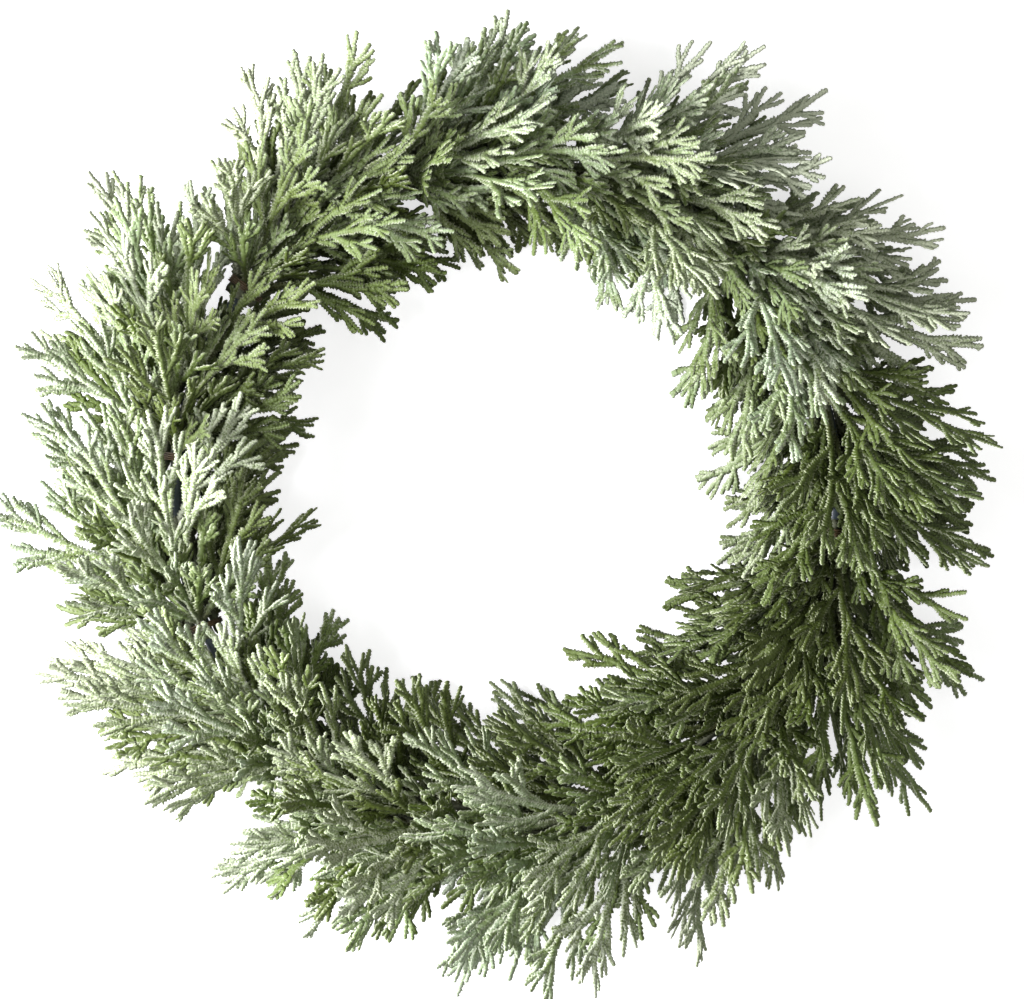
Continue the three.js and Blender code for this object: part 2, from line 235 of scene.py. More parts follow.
def plan_frond(draw, length, count):
    """The centrelines of a frond laid flat, rib along X, by name."""
    twigs = draw_twigs(draw, length, count)
    tip_left = (length, length * (TIP_HALF_SPREAD + spread(draw, TIP_PLACE_SPREAD)))
    tip_right = (length * (RIGHT_TIP + spread(draw, RIGHT_TIP_SPREAD)),
                 -length * (TIP_HALF_SPREAD + spread(draw, TIP_PLACE_SPREAD)))
    last_fork = (length * LAST_FORK, 0)
    lines = [((0, 0), (ROOT_LENGTH, 0))]
    rib_from = (ROOT_LENGTH, 0)
    for twig in twigs:
        root = (twig["start"], 0)
        heading = twig["side"] * twig["angle"]
        opening = twig["side"] * math.radians(PRONG_ANGLE)
        lines.append((rib_from, root))
        twig["root"] = root
        if twig["forks"]:
            fork = step_from(root, twig["fork"], heading)
            prong = twig["reach"] - twig["fork"]
            outer = step_from(fork, prong * OUTER_PRONG, heading + opening)
            inner = step_from(fork, prong * INNER_PRONG, heading - opening)
            twig["cords"] = [(root, fork), (fork, outer), (fork, inner)]
        else:
            twig["cords"] = [(root, step_from(root, twig["reach"], heading))]
        lines += twig["cords"]
        rib_from = root
    lines += [(rib_from, last_fork), (last_fork, tip_left), (last_fork, tip_right)]
    return dict(twigs=twigs, tips=(tip_left, tip_right), last_fork=last_fork, lines=lines)


# ------------------------------------------------------ the frond's curve

def rib_frames(hub_angle, seat, choice):
    """The curve of a frond's rib: a point, a side and a face direction at each slice."""
    points, faces, down = [], [], []
    slice_length = choice["length"] / FROND_SLICES
    lowest = FROND_THICKNESS / 2 - RING_HEIGHT
    rests = choice["rests"]
    angle = hub_angle - choice["ahead"] / RING_RADIUS
    out = STEM_OFFSET * math.cos(seat)
    up = STEM_OFFSET * math.sin(seat)
    splay, lean = choice["splay"], choice["lean"]
    for _ in range(FROND_SLICES + 1):
        away = (math.cos(angle), math.sin(angle))
        points.append((away[0] * (RING_RADIUS + out), away[1] * (RING_RADIUS + out),
                       RING_HEIGHT + up))
        face_out = 0 if rests else FACE_OUT
        faces.append((away[0] * math.cos(lean) * face_out, away[1] * math.cos(lean) * face_out,
                      math.sin(lean) * face_out + 1 - FACE_OUT))
        down.append(rests and up <= lowest)
        turn = slice_length * math.cos(splay) / (RING_RADIUS + out)
        stride = slice_length * math.sin(splay)
        lands = rests and up + stride * math.sin(lean) <= lowest
        angle -= turn
        out += stride * (math.copysign(1, math.cos(lean)) if lands else math.cos(lean))
        up = lowest if lands else up + stride * math.sin(lean)
        splay += turn * math.cos(lean) * STRAIGHTNESS + choice["curl"] / FROND_SLICES
        lean += choice["bow"] / FROND_SLICES
    points, faces, down = np.array(points), np.array(faces), np.array(down)
    order = np.arange(FROND_SLICES + 1)
    before, after = np.maximum(order - 1, 0), np.minimum(order + 1, FROND_SLICES)
    heading = unit(points[after] - points[before])
    side = unit(np.cross(faces, heading))
    roll = choice["roll"]
    side = side * math.cos(roll) + np.cross(heading, side) * math.sin(roll)
    upward = unit(np.cross(heading, side))
    side[down, 2] = 0
    side = unit(side)
    upward[down] = (0, 0, 1)
    return points, side, upward


def bend(frames, choice, x, y, lift):
    """Takes points of the flat frond to their places on the bent one, with the face there."""
    points, sides, ups = frames
    place = np.maximum(x, 0) / choice["length"] * FROND_SLICES
    index = np.minimum(place.astype(int), FROND_SLICES - 1)
    share = (place - index)[..., None]
    blend = np.minimum(share, 1)
    side = unit(sides[index] * (1 - blend) + sides[index + 1] * blend)
    up = unit(ups[index] * (1 - blend) + ups[index + 1] * blend)
    middle = points[index] * (1 - share) + points[index + 1] * share
    return middle + side * y[..., None] + up * (lift - choice["cup"] * y * y)[..., None], up


# --------------------------------------------------------------- clearance

# Two lines are taken as parallel where their slant is no more than this.
LEAST_SLANT = 1e-9


def distances(first, second):
    """The least distance between each straight line of one set and each of the other."""
    a, b = first[:, None, 0], first[:, None, 1]
    c, d = second[None, :, 0], second[None, :, 1]
    u, v, w = b - a, d - c, a - c
    uu, vv, uv = (u * u).sum(-1), (v * v).sum(-1), (u * v).sum(-1)
    uw, vw = (u * w).sum(-1), (v * w).sum(-1)
    slant = uu * vv - uv * uv
    crosses = slant > LEAST_SLANT
    near = np.clip((uv * vw - vv * uw) / np.where(crosses, slant, 1), 0, 1)
    near = np.where(crosses, near, 0)
    t = np.clip((uv * near + vw) / vv, 0, 1)
    s = np.clip((uv * t - uw) / uu, 0, 1)
    return np.linalg.norm(w + u * s[..., None] - v * t[..., None], axis=-1)


class Placed:
    """The centrelines that are placed so far, and how far each set of them spreads."""

    def __init__(self):
        self.sets, self.centres, self.radii = [], [], []

    def add(self, sprig, lines, free):
        ends = lines.reshape(-1, 3)
        centre = (ends.min(0) + ends.max(0)) / 2
        self.sets.append((sprig, lines, free))
        self.centres.append(centre)
        self.radii.append(np.linalg.norm(ends - centre, axis=1).max())

    def is_clear(self, sprig, lines, free, clearance):
        ends = lines.reshape(-1, 3)
        centre = (ends.min(0) + ends.max(0)) / 2
        radius = np.linalg.norm(ends - centre, axis=1).max()
        apart = np.linalg.norm(np.array(self.centres) - centre, axis=1)
        gaps = apart - np.array(self.radii) - radius
        kin, others = [], []
        for k in np.flatnonzero(gaps <= clearance):
            its_sprig, its_lines, its_free = self.sets[k]
            if its_sprig == sprig:
                kin.append(its_free)
            else:
                others.append(its_lines)
        for mine, theirs in ((free, kin), (lines, others)):
            if theirs and distances(mine, np.concatenate(theirs)).min() < clearance:
                return False
        return True


def misses_ring_and_surface(free, rests, ring_clearance, floor_clearance):
    ends = free.reshape(-1, 3)
    out = np.hypot(ends[:, 0], ends[:, 1]) - RING_RADIUS
    if (np.hypot(out, ends[:, 2] - RING_HEIGHT) < ring_clearance).any():
        return False
    return rests or (ends[:, 2] >= floor_clearance).all()


def stem_points(hub_angle, seat):
    runs = [-STEM_BEHIND + (STEM_BEHIND + STEM_AHEAD) * k / STEM_STEPS
            for k in range(STEM_STEPS + 1)]
    return np.array([beside_ring(hub_angle - run / RING_RADIUS, STEM_OFFSET, seat)
                     for run in runs])


def bundle_outline(slack):
    """The outline of a band round the ring and the three stems, as (distance, lean)."""
    seats = [math.radians(seat) for _, seat, _, _ in SPRIGS]
    rounds = [(STEM_OFFSET * math.cos(seat), STEM_OFFSET * math.sin(seat), STEM_RADIUS)
              for seat in seats]
    rounds.append((0, 0, RING_TUBE))
    turn = 2 * math.pi / BAND_SIDES

    def reach(angle):
        return slack + max(x * math.cos(angle) + y * math.sin(angle) + r for x, y, r in rounds)

    corners = []
    for k in range(BAND_SIDES):
        here = turn * k
        near = reach(here)
        far = (reach(here + turn) - near * math.cos(turn)) / math.sin(turn)
        x = near * math.cos(here) - far * math.sin(here)
        y = near * math.sin(here) + far * math.cos(here)
        corners.append((math.hypot(x, y), math.atan2(y, x)))
    return corners


# ------------------------------------------------------------------ layout

def choose_frond(draw, row, reach, tries):
    ahead, lean, splay, length, twigs, rests = row
    loosen = 1 + tries * LOOSENING
    shorten = 1 - SHORTENING * tries
    lean_spread = RESTING_LEAN_SPREAD if rests else LEAN_SPREAD * loosen
    choice = dict(rests=rests, twigs=twigs)
    choice["lean"] = math.radians(lean + spread(draw, lean_spread))
    choice["splay"] = math.radians(splay + spread(draw, SPLAY_SPREAD * loosen))
    choice["length"] = reach * length * (1 + spread(draw, LENGTH_SPREAD)) * shorten
    choice["roll"] = 0 if rests else math.radians(spread(draw, ROLL_SPREAD))
    choice["curl"] = math.radians(spread(draw, CURL_SPREAD))
    choice["bow"] = 0 if rests else math.radians(spread(draw, BOW_SPREAD))
    choice["ahead"] = ahead + spread(draw, PLACE_SPREAD)
    choice["cup"] = 0 if rests else spread(draw, CUP_SPREAD)
    return choice


def shape_frond(draw, hub_angle, seat, choice):
    """A frond's plan and curve, and its bent centrelines."""
    plan = plan_frond(draw, choice["length"], choice["twigs"])
    frames = rib_frames(hub_angle, seat, choice)
    flat = np.array(plan["lines"], float)
    lines, _ = bend(frames, choice, flat[..., 0], flat[..., 1], 0.0)
    return dict(choice=choice, plan=plan, frames=frames, lines=lines, free=lines[1:])


def keep(frond, sprig, placed, fronds):
    frond["sprig"] = sprig
    placed.add(sprig, frond["lines"], frond["free"])
    fronds.append(frond)


def lay_out_fronds():
    """Places the main fronds one by one, each at the first try that is clear."""
    draw = draw_from(SEED)
    placed = Placed()
    for degrees in STATION_ANGLES:
        corners = np.array([beside_ring(math.radians(degrees), distance, lean)
                            for distance, lean in bundle_outline(FIT_GAP + BAND_WALL / 2)])
        lines = np.stack([corners, np.roll(corners, -1, axis=0)], 1)
        placed.add(None, lines, lines)
    fronds = []
    for station, degrees in enumerate(STATION_ANGLES):
        hub_angle = math.radians(degrees)
        for kind, seat_degrees, rows, reach in SPRIGS:
            seat = math.radians(seat_degrees)
            sprig = (kind, station)
            stem = stem_points(hub_angle, seat)
            lines = np.stack([stem[:-1], stem[1:]], 1)
            placed.add(sprig, lines, lines)
            for row in rows:
                for tries in range(MOST_TRIES):
                    choice = choose_frond(draw, row, reach[station], tries)
                    frond = shape_frond(draw, hub_angle, seat, choice)
                    lines, free = frond["lines"], frond["free"]
                    clear = misses_ring_and_surface(
                        free, choice["rests"], RING_CLEARANCE, FLOOR_CLEARANCE)
                    if clear and placed.is_clear(sprig, lines, free, FROND_CLEARANCE):
                        keep(frond, sprig, placed, fronds)
                        break
    return fronds, placed


# -------------------------------------------------------------- undergrowth

# Shorter fronds fill the depth between the main ones, from the same stems.
FILL_SEED = 77
FILL_TRIES = 40
FILL_TWIGS = 2
FILL_CLEARANCE = 1.7
FILL_RING_CLEARANCE = RING_TUBE + 1.4
FILL_FLOOR_CLEARANCE = 1.9
# Angles where the front of the ring stays in sight, and how wide each gap is.
RING_WINDOWS = (206, 186, 354, 144, 18)
WINDOW_RADIUS = 9.0
BOX_MARGIN = 6.0
FILL_ROLL_SPREAD = 40
FILL_CURL_SPREAD = 18
FILL_BOW_SPREAD = 20

# One row for each sort of them: the sprig, how many at each station, and the
# ranges of their places along the stem, leans, splays and lengths.
FILL = [
    ("front", 6, (-5, 5), (25, 155), (16, 66), (32, 52)),
    ("outer", 20, (-4, 51), (-62, 84), (8, 62), (44, 80)),
    ("front", 12, (0, 51), (40, 140), (2, 34), (38, 70)),
    ("inner", 14, (-4, 51), (104, 236), (8, 58), (36, 60)),
    ("outer", 4, (-4, 30), (-115, -65), (3, 16), (46, 62)),
    ("inner", 4, (-4, 30), (245, 295), (3, 16), (46, 62)),
]


def choose_fill(draw, row, reach):
    _, _, ahead, lean, splay, length = row
    return dict(
        rests=False,
        twigs=FILL_TWIGS,
        lean=math.radians(between(draw, *lean)),
        splay=math.radians(between(draw, *splay)),
        length=reach * between(draw, *length),
        roll=math.radians(spread(draw, FILL_ROLL_SPREAD)),
        curl=math.radians(spread(draw, FILL_CURL_SPREAD)),
        bow=math.radians(spread(draw, FILL_BOW_SPREAD)),
        ahead=between(draw, *ahead),
        cup=spread(draw, CUP_SPREAD),
    )


def leaves_the_box(lines):
    """Whether a frond comes closer than its side tips are wide to the model's box."""
    ends = lines.reshape(-1, 3)
    low, high = box_round_ring
    return (ends[:, :2] < low[:2] + BOX_MARGIN).any() or (ends > high - BOX_MARGIN).any()


def shuts_a_window(lines):
    """Whether a frond passes in front of a place where the ring stays in sight."""
    middle = lines.mean(1)
    for degrees in RING_WINDOWS:
        x, y, _ = beside_ring(math.radians(degrees), 0, 0)
        near = np.hypot(middle[:, 0] - x, middle[:, 1] - y) < WINDOW_RADIUS
        if (near & (middle[:, 2] > RING_HEIGHT)).any():
            return True
    return False


def lay_out_fill(placed):
    """Adds the shorter fronds wherever they pass between what is placed."""
    draw = draw_from(FILL_SEED)
    seats = {kind: math.radians(seat) for kind, seat, _, _ in SPRIGS}
    reaches = {kind: reach for kind, _, _, reach in SPRIGS}
    fronds = []
    for station, degrees in enumerate(STATION_ANGLES):
        hub_angle = math.radians(degrees)
        for row in FILL:
            kind, count = row[:2]
            sprig = (kind, station)
            for _ in range(count):
                for _ in range(FILL_TRIES):
                    choice = choose_fill(draw, row, reaches[kind][station])
                    frond = shape_frond(draw, hub_angle, seats[kind], choice)
                    lines, free = frond["lines"], frond["free"]
                    clear = misses_ring_and_surface(
                        free, False, FILL_RING_CLEARANCE, FILL_FLOOR_CLEARANCE)
                    clear = clear and not leaves_the_box(lines) and not shuts_a_window(lines)
                    if clear and placed.is_clear(sprig, lines, free, FILL_CLEARANCE):
                        keep(frond, sprig, placed, fronds)
                        break
    return fronds


# -------------------------------------------------------------- the cords

# Every rib and twig is a flat cord of overlapping scale leaves. A scale has two
# rings of four corners, narrow and deep at its root and wide and flatter at its
# free edge. Each row gives where the ring is on the scale, its width and depth.
CORD_SIDES = 4
SCALE_PITCH = 1.6
FILL_PITCH = 2.4
SCALE_RINGS = ((0.0, 0.8, 1.0), (0.7, 1.2, 0.92))
TIP_RINGS = ((0.0, 0.86, 0.95), (0.6, 1.06, 0.8), (1.05, 0.5, 0.35))
# The scales differ in width and stand a little to one side or the other.
SCALE_SPREAD = 0.16
SCALE_SHIFT = 0.2
SCALE_SEED = 31

# Half widths of the cords at their start and end, and their depth as a share.
RIB_WIDTHS = (1.9, 1.5)
TWIG_WIDTHS = (1.6, 1.45)
PRONG_WIDTHS = (1.6, 1.12)
SIDE_TIP_WIDTHS = (1.42, 1.0)
FLATNESS = 0.4
YOUNG_WIDENING = 0.12
# How much a cord widens into the fork at its end, and how late it does.
RIB_FLARE = 0.45
TWIG_FLARE = 0.85
SIDE_TIP_FLARE = 0.9
FLARE_POWER = 3
# How far the cords bow aside, as shares of their length.
TWIG_BULGE = 0.05
LAST_TWIG_BULGE = 0.04
TIP_BULGE_SPREAD = 0.03
PRONG_BULGE_SPREAD = 0.05
FORKED_BULGE = 0.05
SINGLE_BULGE = 0.06
# How far their ends rise or dip from the blade, and how late they do.
TWIG_LIFT_SPREAD = 1.6
PRONG_LIFT_SPREAD = 2.4
LIFT_POWER = 1.4
RESTING_LIFT = 0.6
# How far a cord may turn about its own line, in degrees.
TWIST_SPREAD = 16

# Where side tips leave each sort of cord, as shares of it. On the rib it is a
# share of the way from one twig to the next.
RIB_SPROUT = 0.4
FIRST_TWIG_SPROUTS = (0.35, 0.8)
TWIG_SPROUTS = (0.5,)
LAST_TWIG_SPROUTS = (0.25, 0.55)
PRONG_SPROUTS = (0.3,)
# How long they are: as shares of the frond on the rib and twigs, and in
# millimetres on the prongs.
RIB_SPROUT_SHARE = 0.25
TWIG_SPROUT_SHARE = 0.21
TIP_SPROUT_LENGTH = 10.0
PRONG_SPROUT_LENGTH = 11.0
# Each side tip's draw.
SPROUT_PLACES = (0.04, 0.94)
SPROUT_PLACE_SPREAD = 0.06
SPROUT_ANGLES = (12, 25)
SPROUT_SIZES = (0.7, 1.3)
SPROUT_LIFT_SPREAD = 1.9
# A side tip forks when it is at least this long.
LEAST_FORKED = 12.0
SPLIT_SHARES = (0.5, 0.72)
SPLIT_TURN_BACK = 6
OUTER_SPLIT_TURNS = (6, 20)
OUTER_SPLIT_SHARES = (0.6, 1.0)
INNER_SPLIT_TURNS = (12, 28)
SPLIT_LIFT_SPREAD = 0.8
# The finer fronds close up a little on their ribs.
MAIN_NARROWING = 0.93
FILL_NARROWING = 0.84


def make_cord(start, end, widths, bulge=0.0, lifts=(0.0, 0.0), tip=False, flare=0.0):
    """One cord on the flat frond: a shallow arc with its half widths and lifts."""
    return dict(start=np.array(start, float), end=np.array(end, float), widths=widths,
                bulge=bulge, lifts=lifts, tip=tip, flare=flare)


def along_cord(cord, t):
    """The place, heading and lift at a share t of a cord."""
    run = cord["end"] - cord["start"]
    across = np.array([-run[1], run[0]])
    point = cord["start"] + run * t + across * (4 * cord["bulge"] * t * (1 - t))
    facing = run + across * (4 * cord["bulge"] * (1 - 2 * t))
    low, high = cord["lifts"]
    return point, math.atan2(facing[1], facing[0]), low + (high - low) * t


def sprout(draw, cords, parent, places, size, first_side):
    """Side tips along a cord, on alternate sides, that bend round to run beside it."""
    side = first_side
    nearest, farthest = SPROUT_PLACES
    for place in places:
        place = min(farthest, max(nearest, place + spread(draw, SPROUT_PLACE_SPREAD)))
        point, heading, lift = along_cord(parent, place)
        angle = heading + side * math.radians(between(draw, *SPROUT_ANGLES))
        length = size * between(draw, *SPROUT_SIZES)
        high = lift + spread(draw, SPROUT_LIFT_SPREAD)
        if length > LEAST_FORKED:
            split = length * between(draw, *SPLIT_SHARES)
            fork = step_from(point, split, angle)
            middle = (lift + high) / 2
            cords.append(make_cord(point, fork, SIDE_TIP_WIDTHS, FORKED_BULGE * side,
                                   (lift, middle), flare=SIDE_TIP_FLARE))
            prongs = ((between(draw, *OUTER_SPLIT_TURNS), between(draw, *OUTER_SPLIT_SHARES)),
                      (-between(draw, *INNER_SPLIT_TURNS), 1.0))
            for turn, share in prongs:
                turned = angle + side * math.radians(turn - SPLIT_TURN_BACK)
                end = step_from(fork, (length - split) * share, turned)
                lifts = (middle, high + spread(draw, SPLIT_LIFT_SPREAD))
                cords.append(make_cord(fork, end, SIDE_TIP_WIDTHS, 0, lifts, tip=True))
        else:
            end = step_from(point, length, angle)
            cords.append(make_cord(point, end, SIDE_TIP_WIDTHS, SINGLE_BULGE * side,
                                   (lift, high), tip=True))
        side = -side


def grow_cords(draw, frond):
    """The finer form of a frond: its rib, twigs and prongs, with long side tips."""
    plan, length = frond["plan"], frond["choice"]["length"]
    rib = make_cord((0, 0), plan["last_fork"], RIB_WIDTHS, flare=RIB_FLARE)
    cords = [rib]
    shares = [twig["start"] / (length * LAST_FORK) for twig in plan["twigs"]] + [1.0]
    for near, far, twig in zip(shares, shares[1:], plan["twigs"]):
        place = near + (far - near) * RIB_SPROUT
        sprout(draw, cords, rib, [place], RIB_SPROUT_SHARE * length, -twig["side"])
    for tip in plan["tips"]:
        bulge = spread(draw, TIP_BULGE_SPREAD)
        lift = spread(draw, PRONG_LIFT_SPREAD)
        cord = make_cord(plan["last_fork"], tip, PRONG_WIDTHS, bulge, (0, lift), tip=True)
        cords.append(cord)
        sprout(draw, cords, cord, PRONG_SPROUTS, TIP_SPROUT_LENGTH, 1 if tip[1] > 0 else -1)
    for twig in plan["twigs"]:
        side = twig["side"]
        lift = spread(draw, TWIG_LIFT_SPREAD)
        root, end = twig["cords"][0]
        if not twig["forks"]:
            bulge = LAST_TWIG_BULGE * side
            cord = make_cord(root, end, PRONG_WIDTHS, bulge, (0, lift), tip=True)
            cords.append(cord)
            sprout(draw, cords, cord, LAST_TWIG_SPROUTS, PRONG_SPROUT_LENGTH, side)
            continue
        bulge = TWIG_BULGE * side
        stem = make_cord(root, end, TWIG_WIDTHS, bulge, (0, lift), flare=TWIG_FLARE)
        cords.append(stem)
        places = FIRST_TWIG_SPROUTS if twig is plan["twigs"][0] else TWIG_SPROUTS
        sprout(draw, cords, stem, places, TWIG_SPROUT_SHARE * length, side)
        for (start, end), outwards in zip(twig["cords"][1:], (side, -side)):
            high = lift + spread(draw, PRONG_LIFT_SPREAD)
            bulge = spread(draw, PRONG_BULGE_SPREAD)
            cord = make_cord(start, end, PRONG_WIDTHS, bulge, (lift, high), tip=True)
            cords.append(cord)
            sprout(draw, cords, cord, PRONG_SPROUTS, PRONG_SPROUT_LENGTH, outwards)
    return cords


# --------------------------------------------------------- meshes of cords

tube_cache = {}
uneven = np.random.default_rng(SCALE_SEED)


def straight_tube(sides, rings):
    """A closed tube of unit radius along Z, a unit from ring to ring, as number arrays."""
    if (sides, rings) in tube_cache:
        return tube_cache[sides, rings]
    bm = bmesh.new()
    bmesh.ops.create_circle(bm, segments=sides, radius=1.0)
    rim = bm.edges[:]
    ends = rim[:]
    for _ in range(rings - 1):
        grown = bmesh.ops.extrude_edge_only(bm, edges=rim)["geom"]
        corners = {item for item in grown if isinstance(item, bmesh.types.BMVert)}
        rim = [item for item in grown
               if isinstance(item, bmesh.types.BMEdge) and set(item.verts) <= corners]
        bmesh.ops.translate(bm, verts=list(corners), vec=(0, 0, 1))
    bmesh.ops.holes_fill(bm, edges=ends + rim, sides=sides)
    bmesh.ops.recalc_face_normals(bm, faces=bm.faces[:])
    bm.verts.index_update()
    places = np.array([vertex.co[:] for vertex in bm.verts])
    loops = np.array([vertex.index for face in bm.faces for vertex in face.verts])
    totals = np.array([len(face.verts) for face in bm.faces])
    bm.free()
    tube = (np.rint(places[:, 2]).astype(int), places[:, 0], places[:, 1], loops, totals)
    tube_cache[sides, rings] = tube
    return tube


# Foliage stays this far off the ring's surface.
RING_SKIN = 0.1


def clear_of_ring(places):
    """Moves the few points that dip into the ring out to just off its surface."""
    out = np.hypot(places[:, 0], places[:, 1])
    off = np.stack([out - RING_RADIUS, places[:, 2] - RING_HEIGHT], 1)
    gap = np.linalg.norm(off, axis=1)
    least = RING_TUBE + RING_SKIN
    dips = gap < least
    off[dips] *= (least / gap[dips])[:, None]
    share = (RING_RADIUS + off[:, 0]) / out
    return np.stack([places[:, 0] * share, places[:, 1] * share, RING_HEIGHT + off[:, 1]], 1)


class Tubes:
    """Gathers bent tubes into the arrays of one mesh."""

    NAMES = ("reach", "tip", "tone", "frost", "young", "shade", "scale", "rim")

    def __init__(self):
        self.places, self.loops, self.totals, self.finishes = [], [], [], []
        self.values = {name: [] for name in self.NAMES}
        self.count = 0

    def add_tube(self, sides, middle, side, up, half_width, half_depth, finish=0, **values):
        """A tube through the given middles, with its half width and depth at each."""
        ring, across, high, loops, totals = straight_tube(sides, len(middle))
        place = (middle[ring] + side[ring] * (half_width[ring] * across)[:, None]
                 + up[ring] * (half_depth[ring] * high)[:, None])
        self.places.append(place)
        self.loops.append(loops + self.count)
        self.totals.append(totals)
        self.finishes.append(np.full(len(totals), finish))
        for name in self.NAMES[:-1]:
            value = np.broadcast_to(np.asarray(values.get(name, 0.0), float), (len(middle),))
            self.values[name].append(value[ring])
        self.values["rim"].append(np.abs(across))
        self.count += len(place)

    def make_mesh(self, name, centre):
        """The mesh of all the tubes, in metres, in the frame of the model."""
        places = clear_of_ring(np.concatenate(self.places))
        loops, totals = np.concatenate(self.loops), np.concatenate(self.totals)
        places[:, :2] += centre
        places = np.clip(places, np.array(cad_box[0]) / MM, np.array(cad_box[1]) / MM)
        mesh = bpy.data.meshes.new(name)
        mesh.vertices.add(len(places))
        mesh.vertices.foreach_set("co", (places * MM).astype(np.float32).ravel())
        mesh.loops.add(len(loops))
        mesh.loops.foreach_set("vertex_index", loops.astype(np.int32))
        mesh.polygons.add(len(totals))
        mesh.polygons.foreach_set("loop_start", (np.cumsum(totals) - totals).astype(np.int32))
        finishes = np.concatenate(self.finishes)
        mesh.polygons.foreach_set("material_index", finishes.astype(np.int32))
        for value_name in self.NAMES:
            attribute = mesh.attributes.new(value_name, "FLOAT", "POINT")
            values = np.concatenate(self.values[value_name])
            attribute.data.foreach_set("value", values.astype(np.float32))
        mesh.update(calc_edges=True)
        mesh.validate()
        mesh.shade_smooth()
        return mesh


def scale_rhythm(length, pitch, tip):
    """Where the rings of a cord lie, and the width and depth of each."""
    count = max(2, round(length / pitch))
    usual = count - 1 if tip else count
    rings = [(k + at, wide, deep) for k in range(usual) for at, wide, deep in SCALE_RINGS]
    if tip:
        rings += [(count - 1 + at, wide, deep) for at, wide, deep in TIP_RINGS]
    else:
        rings.append((count, *SCALE_RINGS[0][1:]))
    places, wide, deep = np.array(rings).T
    return places, places / count, wide, deep


def lay_cord(tubes, draw, frond, cord, pitch, narrowing, finish):
    """Bends one cord on to its frond and adds it to the sprig's tubes."""
    run = cord["end"] - cord["start"]
    size = float(np.hypot(*run))
    number, t, wide, deep = scale_rhythm(size, pitch, cord["tip"])
    across = np.array([-run[1], run[0]])
    bow = across * (4 * cord["bulge"] * t * (1 - t))[:, None]
    flat = cord["start"] + run * t[:, None] + bow
    flat[:, 1] *= narrowing
    low, high = cord["lifts"]
    lift = low + (high - low) * t ** LIFT_POWER
    choice = frond["choice"]
    if choice["rests"]:
        lift = np.abs(lift) * RESTING_LIFT
    middle, up = bend(frond["frames"], choice, flat[:, 0], flat[:, 1], lift)
    middle[:, 2] = np.maximum(middle[:, 2], FROND_THICKNESS / 2)
    heading = unit(np.gradient(middle, axis=0))
    side = unit(np.cross(up, heading))
    up = np.cross(heading, side)
    turn = math.radians(spread(draw, TWIST_SPREAD))
    side, up = (side * math.cos(turn) + up * math.sin(turn),
                up * math.cos(turn) - side * math.sin(turn))
    first, last = cord["widths"]
    half = (first + (last - first) * t) * (1 + cord["flare"] * t ** FLARE_POWER)
    reach = np.clip(flat[:, 0] / choice["length"], 0, 1)
    half *= 1 + YOUNG_WIDENING * finish["young"] * reach ** 2
    shift = half * uneven.uniform(-SCALE_SHIFT, SCALE_SHIFT, len(t))
    middle = middle + side * shift[:, None]
    wide = wide * uneven.uniform(1 - SCALE_SPREAD, 1 + SCALE_SPREAD, len(t))
    tubes.add_tube(CORD_SIDES, middle, side, up, half * wide, half * deep * FLATNESS,
                   reach=reach, tip=t if cord["tip"] else 0.0, scale=number + draw(), **finish)


# The woody stems' rings and sides, how much they taper, how much their knots
# stand out, and how far their two ends close.
STEM_RINGS = 30
STEM_SIDES = 10
STEM_TAPER = 0.28
STEM_KNOTS = (0.86, 1.0)
STEM_ENDS = (0.7, 0.4)


def lay_stem(tubes, draw, hub_angle, seat):
    """The woody stem that carries a sprig's fronds, knotty where they leave it."""
    runs = np.linspace(-STEM_BEHIND, STEM_AHEAD, STEM_RINGS)
    middle = np.array([beside_ring(hub_angle - run / RING_RADIUS, STEM_OFFSET, seat)
                       for run in runs])
    heading = unit(np.gradient(middle, axis=0))
    angles = hub_angle - runs / RING_RADIUS
    out = np.stack([np.cos(angles), np.sin(angles), np.zeros(STEM_RINGS)], 1)
    side = unit(np.cross(out, heading))
    up = np.cross(heading, side)
    taper = 1.0 - STEM_TAPER * np.linspace(0, 1, STEM_RINGS)
    knots = np.array([between(draw, *STEM_KNOTS) for _ in range(STEM_RINGS)])
    half = STEM_RADIUS * taper * knots
    half[[0, -1]] *= STEM_ENDS
    tubes.add_tube(STEM_SIDES, middle, side, up, half, half, finish=1)


# --------------------------------------------------------------- materials

def new_group(name, inputs, outputs):
    group = bpy.data.node_groups.new(name, "ShaderNodeTree")
    for label, kind, value in inputs:
        socket = group.interface.new_socket(name=label, in_out="INPUT", socket_type=kind)
        socket.default_value = value
    for label, kind in outputs:
        group.interface.new_socket(name=label, in_out="OUTPUT", socket_type=kind)
    return group, group.nodes.new("NodeGroupInput"), group.nodes.new("NodeGroupOutput")


